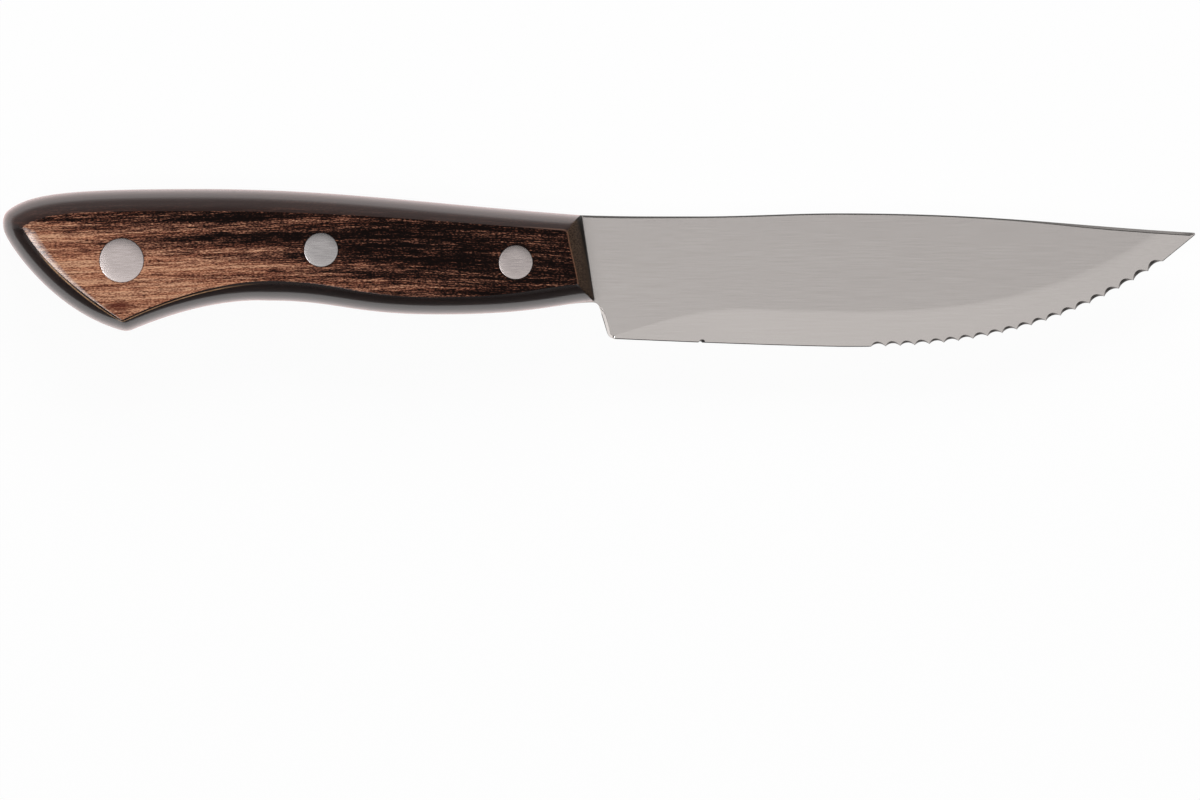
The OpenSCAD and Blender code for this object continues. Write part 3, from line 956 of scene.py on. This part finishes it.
def fade(tree, *steps):
    """Product of soft steps. A step is a value, the places where it starts and ends, and
    the levels before and after it, which are 0 and 1 unless it names them."""
    product = None
    for step in steps:
        levels = () if len(step) == 5 else (0.0, 1.0)
        soft = add(tree, "MapRange", *step, *levels, interpolation_type="SMOOTHSTEP")
        product = add(tree, "Math", product, soft, operation="MULTIPLY") if product else soft
    return product


def swing(tree, value, low, high, depth):
    """Sharpened noise: a swing of the given depth about nothing."""
    sharpened = fade(tree, (value, low, high, 0.0, depth))
    return add(tree, "Math", sharpened, depth / 2, operation="SUBTRACT")


print(f"a streak 0.22 mm wide repeats {1 / (0.22 * MM):.0f} times in a metre")

# %% [markdown]
# ## Laminated hardwood
# The scales are a dark figured hardwood, laminated and impregnated. Its grain runs along
# the handle: long bands of light and dark wood a few millimetres wide, finer streaks, and
# short pores. A noise stretched along X gives each of them, with its width and length in
# millimetres. The finest streaks of the real wood are under a tenth of a millimetre wide,
# and they are drawn at about a fifth, as coarse as they need to be to show. The rear is
# light brown and the front nearly black, so a slow drift along the handle sets how dark
# the bands are, and a few broad stains stand where the real handle has them.


# %% Stains of the wood
def stains(tree, x, y, wander):
    """Slow darkness of the wood, from 0, pale, to 1, black. It drifts from the light rear
    to the dark front, which starts at the back. The borders of all stains wander with the
    broad grain."""
    slant = add(tree, "Math", y, 3.8, x, operation="MULTIPLY_ADD")
    along = add(tree, "Math", wander, 60 * MM, slant, operation="MULTIPLY_ADD")
    across = add(tree, "Math", wander, 4 * MM, y, operation="MULTIPLY_ADD")
    dark = fade(tree, (along, -106 * MM, -12 * MM, 0.21, 1.07))
    for sides in (
            # A black band over the middle rivet.
            ((across, 2.5 * MM, 4.5 * MM), (across, 10 * MM, 8 * MM),
             (x, -72 * MM, -50 * MM, 0, 0.12), (x, -22 * MM, -34 * MM)),
            # A dark crown at the back of the butt.
            ((across, 7 * MM, 10.5 * MM, 0, 0.24), (x, -60 * MM, -84 * MM)),
            # Paler streaks between the band and the back.
            ((across, 7 * MM, 9.5 * MM), (x, -78 * MM, -64 * MM, 0, -0.26),
             (x, -40 * MM, -54 * MM)),
            # A shade on the beak.
            ((y, -2 * MM, -8 * MM, 0, 0.12), (x, -80 * MM, -90 * MM))):
        dark = add(tree, "Math", dark, fade(tree, *sides), operation="ADD")
    return dark


# %% Figure of the wood
def wood_figure(tree):
    """Darkness of the figured wood, from 0, pale brown, to 1, nearly black, with its
    middle and finest streaks and the three coordinates."""
    raw = add(tree, "TexCoord").outputs["Object"]
    x, y, z = add(tree, "SeparateXYZ", raw).outputs
    # The grain rises a little to the waist and falls again to the front, as a sine.
    turn = add(tree, "Math", x, 38.0, 3.4, operation="MULTIPLY_ADD")
    wave = add(tree, "Math", turn, operation="SINE")
    bend = add(tree, "Math", wave, 1.1 * MM, operation="MULTIPLY")
    place = add(tree, "CombineXYZ", x, add(tree, "Math", y, bend, operation="SUBTRACT"), z)
    broad, middle = grain(tree, place, 2.2, 46, 2, 1.7), grain(tree, place, 0.75, 20, 2, 5.1)
    rings, fine = grain(tree, place, 1.9, 60, 1, 6.3), grain(tree, place, 0.22, 3.6, 2, 9.3)
    speckle = grain(tree, place, 0.2, 0.6, 1, 3.3)
    dark = stains(tree, x, y, add(tree, "Math", broad, 0.5, operation="SUBTRACT"))
    # A dark ring of the tree lies wherever its noise passes through one half.
    off = add(tree, "Math", rings, 0.5, operation="SUBTRACT")
    near = add(tree, "Math", off, operation="ABSOLUTE")
    streaks = fade(tree, (near, 0.02, 0.004, 0, 0.2))
    for noise, low, high, depth in ((broad, 0.35, 0.65, 0.16), (middle, 0.34, 0.66, 0.22),
                                    (fine, 0.3, 0.7, 0.48), (speckle, 0.3, 0.7, 0.46)):
        streaks = add(tree, "Math", streaks, swing(tree, noise, low, high, depth),
                      operation="ADD")
    # The streaks stand out more where the wood is dark.
    depth = add(tree, "Math", dark, 0.55, 0.85, operation="MULTIPLY_ADD")
    dark = add(tree, "Math", streaks, depth, dark, operation="MULTIPLY_ADD", use_clamp=True)
    return dark, middle, fine, (x, y, z)


def wood_colour(tree, dark, red):
    """Darkness to colour, with a red cast in some of the bands."""
    base = add(tree, "ValToRGB", dark, stops=[
        (0.0, colour("#d0a07f")), (1.0, colour("#0f0706")), (0.2, colour("#ac7b60")),
        (0.4, colour("#865846")), (0.6, colour("#56362b")), (0.8, colour("#301c16"))])
    return add(tree, "Mix", fade(tree, (red, 0.42, 0.62)), base, colour("#fff0ea"),
               data_type="RGBA", blend_type="MULTIPLY")


print("palest wood", np.round(colour("#d0a07f")[:3], 2), "darkest",
      np.round(colour("#0f0706")[:3], 3))

# %% [markdown]
# ## Oil, lacquer and bare end grain
# The same wood has three finishes. The flat is oiled and rubbed down, so it is dull and
# shows the bare figure. The rounded border keeps a coat of hard lacquer, which mirrors the
# room, and under it the dark layers of the laminate are cut open. The end at the front has
# drunk its lacquer and shows dull pores. Each finish is a material of its own, because
# faces can then be given to them by region.


# %% Surface of the wood
def finished(tree, base, streaks, specular, rough, coat=0.0, coat_rough=0.1, haze=0.0,
             ripple=0.15):
    """Surface of the wood under a finish. The wood is a little rough along its finest
    streaks, and the coat, clear hard lacquer, lies smoother over them. The coat's IOR
    started from 1.5, and 1.9 matches how strongly the real border mirrors the room. The
    haze is fine dust in the lacquer, seen at low angles."""
    bump, skin = (add(tree, "Bump", inputs={
        "Strength": strength, "Distance": 0.04 * MM, "Height": streaks})
        for strength in (0.3, ripple))
    shader = add(tree, "BsdfPrincipled", inputs={
        "Base Color": base, "Roughness": rough, "Specular IOR Level": specular,
        "Normal": bump, "Coat Weight": coat, "Coat Roughness": coat_rough,
        "Coat IOR": 1.9, "Coat Normal": skin,
        "Sheen Weight": haze, "Sheen Roughness": 0.42, "Sheen Tint": colour("#ffccc6")})
    add(tree, "OutputMaterial", shader)


def flat_hardwood(name, coat):
    """The flat face of a scale: the bare figure, oiled and rubbed down. It has one small
    red knot near the beak, an ellipse: (distance / reach)^2 along X, plus the same along Y,
    is 1 at its rim. The streaks make the rim ragged."""
    material, tree = new_material(name)
    dark, middle, fine, (x, y, _) = wood_figure(tree)
    knot = 0
    for value, centre, reach in ((x, -100.4, 3.4), (y, -8.0, 1.2)):
        off = add(tree, "Math", value, 1 / (reach * MM), -centre / reach,
                  operation="MULTIPLY_ADD")
        knot = add(tree, "Math", off, off, knot, operation="MULTIPLY_ADD")
    ragged = add(tree, "Math", knot, swing(tree, middle, 0.3, 0.7, 0.8), operation="ADD")
    base = add(tree, "Mix", fade(tree, (ragged, 1, 0.1, 0, 0.85)),
               wood_colour(tree, dark, middle), colour("#48140f"), data_type="RGBA")
    finished(tree, base, fine, 0.06, 0.5, coat, 0.27, ripple=0.02)
    return material


# %% Lacquered border
def border_hardwood(name):
    """The rounded border: the same figure through dark layers, under a coat of lacquer. It
    is darkest where it turns to the belly, as painted shade, which its point attribute says."""
    material, tree = new_material(name)
    dark, middle, fine, (x, y, z) = wood_figure(tree)
    # Painted shade: the point attribute darkens the border where it turns to the belly.
    under = add(tree, "Attribute", attribute_name="under").outputs["Fac"]
    layers = add(tree, "Math", under, 0.2, 0.7, operation="MULTIPLY_ADD")
    dark = add(tree, "Math", dark, 0.22, layers, operation="MULTIPLY_ADD", use_clamp=True)
    base = wood_colour(tree, dark, middle)
    # Between the dark layers lies one thin pale one, cut open beside the flat at the rear.
    off = add(tree, "Math", z, (total_t - 0.3) * MM, operation="SUBTRACT")
    near = add(tree, "Math", off, operation="ABSOLUTE")
    line = fade(tree, (near, 0.08 * MM, 0.04 * MM, 0, 0.85), (x, -70 * MM, -84 * MM),
                (y, 4 * MM, 0), (fine, 0.35, 0.6, 0.5, 1))
    base = add(tree, "Mix", line, base, colour("#e0b084"), data_type="RGBA")
    # At the front a thin brown line near the top is a painted highlight.
    rim = fade(tree, (z, (total_t - 0.2) * MM, (total_t - 0.13) * MM, 0, 0.28),
               (x, -19 * MM, -10 * MM), (y, 0, 3 * MM))
    base = add(tree, "Mix", rim, base, colour("#8a5f49"), data_type="RGBA")
    finished(tree, base, fine, 0.3, 0.35, 1.0, 0.1, haze=0.8)
    return material


# %% End grain
def end_hardwood(name):
    """End grain at the front, which has drunk its lacquer: dull dark pores, and painted
    black shade where the wood meets the steel, higher up towards the back. Near its top it
    has the border's thin brown line of painted highlight, broken by the pores."""
    material, tree = new_material(name)
    place = add(tree, "TexCoord").outputs["Object"]
    _, y, z = add(tree, "SeparateXYZ", place).outputs
    pores = grain(tree, place, 0.3, 0.5, 2, 4.4)
    base = add(tree, "Mix", fade(tree, (pores, 0.35, 0.65)), colour("#46382d"),
               colour("#2a1f19"), data_type="RGBA")
    # Painted shade: black where the end grain meets the steel, reaching higher towards the
    # back.
    height = add(tree, "Math", y, -0.16, z, operation="MULTIPLY_ADD")
    base = add(tree, "Mix", fade(tree, (height, 14.0 * MM, 12.4 * MM, 0, 0.9)), base,
               colour("#080605"), data_type="RGBA")
    # Painted highlight: the thin brown line near the top, broken by the pores.
    rim = fade(tree, (pores, 0.4, 0.6, 0.35, 1),
               (z, (total_t - 0.22) * MM, (total_t - 0.15) * MM, 0, 0.5))
    base = add(tree, "Mix", rim, base, colour("#8a5f49"), data_type="RGBA")
    finished(tree, base, pores, 0.15, 0.5)
    return material


# %% Four finishes of the wood
wood_finishes = [
    flat_hardwood("oiled_laminated_hardwood", 0.0),
    flat_hardwood("rubbed_laminated_hardwood", 1.0),
    border_hardwood("lacquered_laminated_hardwood"),
    end_hardwood("hardwood_end_grain")]
FLAT_WOOD, RUBBED_WOOD, BORDER_WOOD, END_WOOD = range(4)
print("wood:", [finish.name for finish in wood_finishes])

# %% [markdown]
# ## Steel and aluminium
# The blade is rolled stainless steel, satin finished with a fine belt along its length.
# The scratches are a few hundredths of a millimetre wide, too fine to show, so they are
# drawn about a tenth of a millimetre wide. They only vary the roughness and the tone by a
# little, which gives the eye a soft grey with a faint lengthwise sheen. The scallops were
# cut by a coarse wheel and never polished, so their steel is duller, and its much darker
# tone is painted shade for their hollow walls. The heads of the rivets are aluminium,
# ground flush together with the wood and a little warmer in tone than the steel.


# %% Brushed metals
def brushed_metal(name, tone, dull, width, length, rough):
    """Metal with fine lengthwise scratches and broad faint clouds. Both mix the tone with
    the dull tone, the scratches by seven tenths and the clouds by three."""
    material, tree = new_material(name)
    place = add(tree, "TexCoord").outputs["Object"]
    brush, cloud = grain(tree, place, width, length, 3, 2.2), grain(tree, place, 9, 30, 2, 7.7)
    broad = fade(tree, (cloud, 0.3, 0.7, 0, 0.3))
    share = add(tree, "Math", fade(tree, (brush, 0.3, 0.7)), 0.7, broad,
                operation="MULTIPLY_ADD")
    tint = add(tree, "Mix", share, colour(tone), colour(dull), data_type="RGBA")
    scratch = add(tree, "Bump", inputs={
        "Strength": 0.08, "Distance": 0.01 * MM, "Height": brush})
    shader = add(tree, "BsdfPrincipled", inputs={
        "Base Color": tint, "Metallic": 1.0, "Normal": scratch,
        "Roughness": fade(tree, (brush, 0.3, 0.7, rough - 0.03, rough + 0.03))})
    add(tree, "OutputMaterial", shader)
    return material


satin_steel = brushed_metal("satin_stainless_steel", "#e7e0dc", "#e2dbd7", 0.12, 9, 0.24)
# The ground steel is partly real, duller unpolished steel, and its dark tone is painted shade
# for the scallops' hollow walls.
ground_steel_painted_shade = brushed_metal("wheel_ground_steel_painted_shade", "#8a8583", "#6f6a68", 0.1, 0.4,
                             0.35)
# The three pairs of heads were ground one after another, so their tones differ a little.
ground_aluminium = {
    place: brushed_metal(f"ground_aluminium_{place}", tone, dull, 0.15, 3, 0.24)
    for place, tone, dull in (("rear", "#f2e5e2", "#dbcecb"), ("middle", "#d8d3d2", "#c0bbba"),
                              ("front", "#e4d9d6", "#cec3c0"))}
print("metals:", [m.name for m in (satin_steel, ground_steel_painted_shade, *ground_aluminium.values())])

# %% [markdown]
# ## Dressing the scales
# Each face of a scale gets its finish from its region and from the way it faces. The
# border is lacquered, but where it faces the blade it is end grain. The rim of the flat is
# rubbed bright only at the rear end, where it leans back to the palm. The border also
# carries a number for each point, from 0 to 1, that says how far it turns to the belly
# side, and the material darkens the border there as painted shade. That number is an
# attribute of the mesh, so it moves with the piece, and the material reads it.

# %% Finishes of the scales
faces_blade, leans_back, belly_shade_turn = 0.3, -0.02, 0.2


def face_ways(mesh, what):
    """X of the normals or of the centres of all faces."""
    values = np.empty(3 * len(mesh.polygons), np.float32)
    mesh.polygons.foreach_get(what, values)
    return values[::3]


for piece in (upper_scale, lower_scale):
    mesh = piece.data
    for finish in wood_finishes:
        mesh.materials.append(finish)
    region, ahead = face_regions(mesh), face_ways(mesh, "normal")
    near_front = face_ways(mesh, "center") - BUTT_X > 0.9 * handle_len * MM
    finish_at = np.select(
        [(region == EASE) & (ahead < leans_back),
         (region <= BORDER) & (ahead > faces_blade) & near_front, region <= BORDER],
        [RUBBED_WOOD, END_WOOD, BORDER_WOOD], FLAT_WOOD)
    mesh.polygons.foreach_set("material_index", finish_at.astype(np.int32))
    normal = np.empty(3 * len(mesh.vertices), np.float32)
    mesh.vertices.foreach_get("normal", normal)
    # Painted shade: how far each point of the border turns to the belly side, where the
    # material darkens it.
    under = np.clip((belly_shade_turn - normal[1::3]) / belly_shade_turn, 0, 1)
    mesh.attributes.new("under", "FLOAT", "POINT").data.foreach_set("value", under)
    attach(piece, "root")
    print(piece.name, "faces of each finish:", np.bincount(finish_at))
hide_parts("upper_scale")
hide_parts("lower_scale")

# %% [markdown]
# ## Dressing the steel and the rivets
# The blade is satin all over except on the walls of the scallops and the bare edge. They
# are one region, so the wheel-ground steel goes there, with its tone darkened as painted
# shade. Each half of a rivet gets the aluminium of its place along the handle.

# %% Finishes of the metal pieces
for finish in (satin_steel, ground_steel_painted_shade):
    knife_blade.data.materials.append(finish)
# The walls of the scallops and the bare edge take the darker steel, whose tone is partly
# painted shade.
wheel_ground = face_regions(knife_blade.data) == EDGE
knife_blade.data.polygons.foreach_set("material_index", wheel_ground.astype(np.int32))
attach(knife_blade, "root")
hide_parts("blade")

for node, piece in rivet_pieces.items():
    piece.data.materials.append(ground_aluminium[node.split("_")[0]])
    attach(piece, "root")
    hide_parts(node)
print(f"{wheel_ground.sum()} wheel-ground faces, {len(rivet_pieces)} halves of rivets")

# %% [markdown]
# ## The table
# The photograph is a catalogue shot on pure white. The table is white to the camera and in
# reflections, as a lit sheet of paper is, while it still takes a little of the knife's
# shadow. So its paper is a mix: it mostly glows for those two kinds of ray, and is plain
# matt paper for all others.

# %% White table
table_reach, glow_share = 12.0, 0.95
corners = [(-table_reach, -table_reach, 0), (table_reach, -table_reach, 0),
           (table_reach, table_reach, 0), (-table_reach, table_reach, 0)]
table_mesh = bpy.data.meshes.new("table")
table_mesh.from_pydata(corners, [], [(0, 1, 2, 3)])
table = bpy.data.objects.new("table", table_mesh)
bpy.context.scene.collection.objects.link(table)
paper, tree = new_material("white_paper")
rays = add(tree, "LightPath").outputs
seen = add(tree, "Math", rays["Is Camera Ray"], rays["Is Glossy Ray"], operation="MAXIMUM")
share = add(tree, "Math", seen, glow_share, operation="MULTIPLY")
matt, glow = add(tree, "BsdfDiffuse", grey(0.85)), add(tree, "Emission", grey(1.0), 1.0)
add(tree, "OutputMaterial", add(tree, "MixShader", share, matt, glow))
table_mesh.materials.append(paper)
print(f"table {2 * table_reach:.0f} m wide")

# %% [markdown]
# ## The room
# Steel and lacquer show their surroundings more than their own colour, so the room
# matters as much as the lamps. The wall on the back's side of the knife is tall and pale
# low down, and the wall on the belly's side is low and dark. That makes the lacquered
# border black beside the flat and pale at its very edge. Both walls are colour ramps over
# the height of a ray, from level at 0 to straight up at 1, and a soft step joins them. The
# camera sees white instead, because the picture has no background.

# %% Walls of the room
world = bpy.data.worlds.new("room")
bpy.context.scene.world = world
world.use_nodes = True
tree = world.node_tree
tree.nodes.clear()
way = add(tree, "TexCoord").outputs["Generated"]
ahead, side, up = add(tree, "SeparateXYZ", way).outputs
tall = add(tree, "ValToRGB", up, stops=[
    (0.0, grey(0.9)), (1.0, grey(0.02)), (0.1, grey(0.55)), (0.2, grey(0.3)),
    (0.36, grey(0.2)), (0.52, grey(0.22)), (0.74, grey(0.06))])
low = add(tree, "ValToRGB", up, stops=[
    (0.0, grey(0.3)), (1.0, grey(0.02)), (0.06, grey(0.12)), (0.15, grey(0.07)),
    (0.3, grey(0.06)), (0.5, grey(0.02)), (0.64, grey(0.13)), (0.86, grey(0.11))])
turned_to = add(tree, "Math", ahead, -0.3, side, operation="MULTIPLY_ADD")
room = add(tree, "Mix", fade(tree, (turned_to, -0.3, 0.3)), low, tall, data_type="RGBA")
walls, white = add(tree, "Background", room, 1.0), add(tree, "Background", grey(1.0), 1.0)
camera_ray = add(tree, "LightPath").outputs["Is Camera Ray"]
add(tree, "OutputWorld", add(tree, "MixShader", camera_ray, walls, white))
print("room with", len(tree.nodes), "nodes")

# %% [markdown]
# ## The lamps
# Four soft boxes light the knife. The card overhead is what the flat steel mirrors, so its
# radiance sets the grey of the blade. The fill lifts the wood evenly. The key comes from
# the back's side and is hidden from reflections, so it brightens the wood without a glare.
# The edge light is small and bright, and draws the white line on the rubbed rear rim.


# %% Soft boxes
def soft_box(name, place, size, radiance, mirrored=True):
    """Area lamp that faces the knife. Its power is radiance x area x pi."""
    lamp = bpy.data.lights.new(name, "AREA")
    lamp.shape, lamp.size, lamp.size_y = "RECTANGLE", size[0], size[1]
    lamp.energy = radiance * size[0] * size[1] * math.pi
    holder = bpy.data.objects.new(name, lamp)
    holder.location = place
    holder.rotation_euler = (-Vector(place)).to_track_quat("-Z", "Y").to_euler()
    holder.visible_camera = False
    holder.visible_glossy = mirrored
    bpy.context.scene.collection.objects.link(holder)
    print(f"{name}: {lamp.energy:.1f} W")


soft_box("overhead_card", (-0.05, -0.41, 1.5), (1.9, 1.25), 0.59)
soft_box("fill", (0.0, 0.1, 1.6), (1.8, 1.4), 0.5, mirrored=False)
soft_box("key", (0.2, 1.3, 0.8), (1.4, 0.7), 7.5, mirrored=False)
soft_box("edge_light", (-0.66, -0.31, 1.3), (0.3, 0.42), 9.0)

# %% [markdown]
# ## The camera
# The photograph shows the knife straight from above without any perspective: the two ends
# are seen as squarely as the middle. A very long lens far away gives the same, and its
# height follows from the width that the picture has to cover at the height of the blade.

# %% Camera
LENS, SENSOR, FRAME_W = 800.0, 36.0, 0.2517
camera_data = bpy.data.cameras.new("camera")
camera_data.lens, camera_data.sensor_width = LENS, SENSOR
camera_data.clip_end = 50
camera = bpy.data.objects.new("camera", camera_data)
camera.location = (0.0002, -0.0277, MID_Z * MM + FRAME_W * LENS / SENSOR)
bpy.context.scene.collection.objects.link(camera)
bpy.context.scene.camera = camera
bpy.context.scene.view_settings.view_transform = "Standard"
print(f"camera {camera.location[2]:.2f} m above the table")
